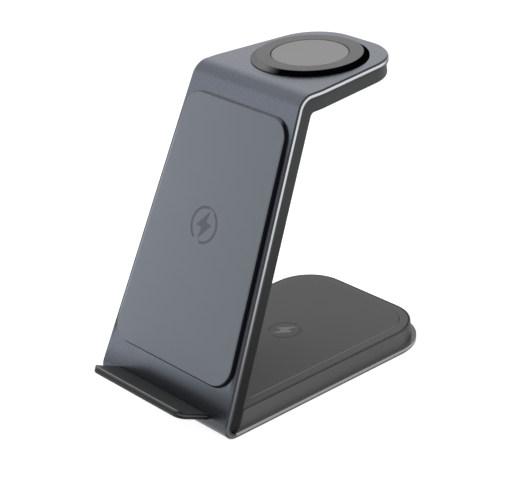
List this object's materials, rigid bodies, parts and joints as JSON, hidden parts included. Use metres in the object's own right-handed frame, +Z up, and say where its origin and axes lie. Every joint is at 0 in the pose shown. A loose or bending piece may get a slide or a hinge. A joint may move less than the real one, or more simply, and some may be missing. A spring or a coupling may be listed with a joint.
{
  "type": "three in one wireless charger",
  "caption": "Wireless charging stand: a bent metal sheet forms base, leaning phone panel and arm, with a phone pad and ledge, a watch disc on the arm and an earbud pad on the base.",
  "frame": {"origin": "centre of the bounding box, on the floor under the rubber feet", "axes": "+Z up; -Y is the front that the phone pad and ledge face; +X is to the right of someone who faces the front"},
  "size_m": [0.078, 0.1315, 0.1279],
  "materials": {
    "slate_aluminium": "fine matt anodised slate blue-grey, bright along the cut edge",
    "cover_plastic": "fine matt dark grey moulding",
    "housing_plastic": "fine matt dark grey moulding",
    "earbud_pad": "soft matt dark grey pad",
    "black_rim": "satin black",
    "slate_skin": "fine matt slate blue-grey",
    "ledge_plastic": "satin dark grey moulding",
    "ledge_liner": "soft matt dark grey liner",
    "gloss_black": "polished black",
    "watch_disc": "smooth mid-grey disc",
    "copper_winding": "enamelled copper winding",
    "ferrite": "matt dark sintered sheet",
    "magnet_plating": "nickel plated",
    "circuit_board": "green solder mask",
    "inlet_steel": "bright formed steel",
    "inlet_moulding": "black moulding",
    "inductor_body": "matt dark grey body",
    "capacitor_body": "tan ceramic body",
    "chip_body": "matt black body",
    "lead_sheath": "soft sheath",
    "foot_rubber": "matt black rubber",
    "screw_steel": "zinc plated"
  },
  "bodies": {
    "root": {"frame_sheet": "slate_aluminium", "back_cover": "cover_plastic", "base_housing": "housing_plastic", "base_pad": "earbud_pad", "phone_pad_carrier": "black_rim", "phone_pad": "slate_skin", "phone_ledge": "ledge_plastic", "ledge_pad": "ledge_liner", "watch_ring": "gloss_black", "watch_pad": "watch_disc", "phone_coil": "copper_winding", "watch_coil": "copper_winding", "earbud_coil": "copper_winding", "phone_ferrite": "ferrite", "watch_ferrite": "ferrite", "earbud_ferrite": "ferrite", "watch_magnet": "magnet_plating", "main_board": "circuit_board", "usb_c_shell": "inlet_steel", "usb_c_tongue": "inlet_moulding", "power_inductors": "inductor_body", "power_capacitors": "capacitor_body", "control_chips": "chip_body", "phone_leads": "lead_sheath", "watch_leads": "lead_sheath", "earbud_leads": "lead_sheath", "rubber_feet": "foot_rubber", "housing_screws": "screw_steel", "board_screws": "screw_steel"}
  },
  "joints": []
}
